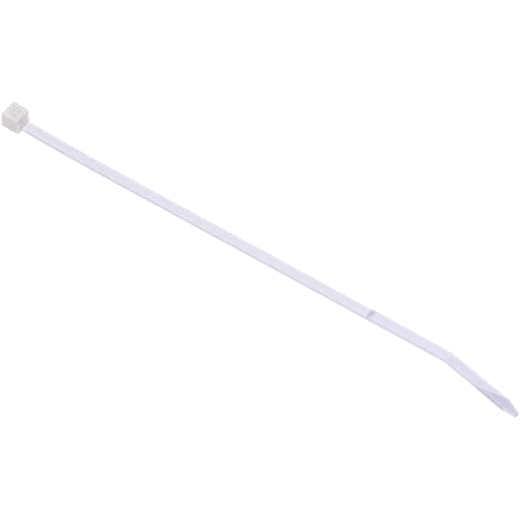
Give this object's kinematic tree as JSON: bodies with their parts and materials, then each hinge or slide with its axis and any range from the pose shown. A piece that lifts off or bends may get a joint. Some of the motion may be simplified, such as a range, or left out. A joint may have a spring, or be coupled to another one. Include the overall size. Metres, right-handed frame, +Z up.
{
  "type": "cable tie",
  "caption": "Self-locking plastic cable tie with a slotted head, a sprung pawl, a toothed strap and a bent, pointed tail.",
  "frame": {"origin": "middle of the tie's box, on the surface that it lies on", "axes": "+X from the head to the tip, +Y across the strap, +Z up, with the smooth side of the strap on top"},
  "size_m": [0.138, 0.0048, 0.0072],
  "materials": {
    "nylon": "satin, milky and slightly see-through"
  },
  "bodies": {
    "root": {"cable_tie": "nylon"}
  },
  "joints": []
}
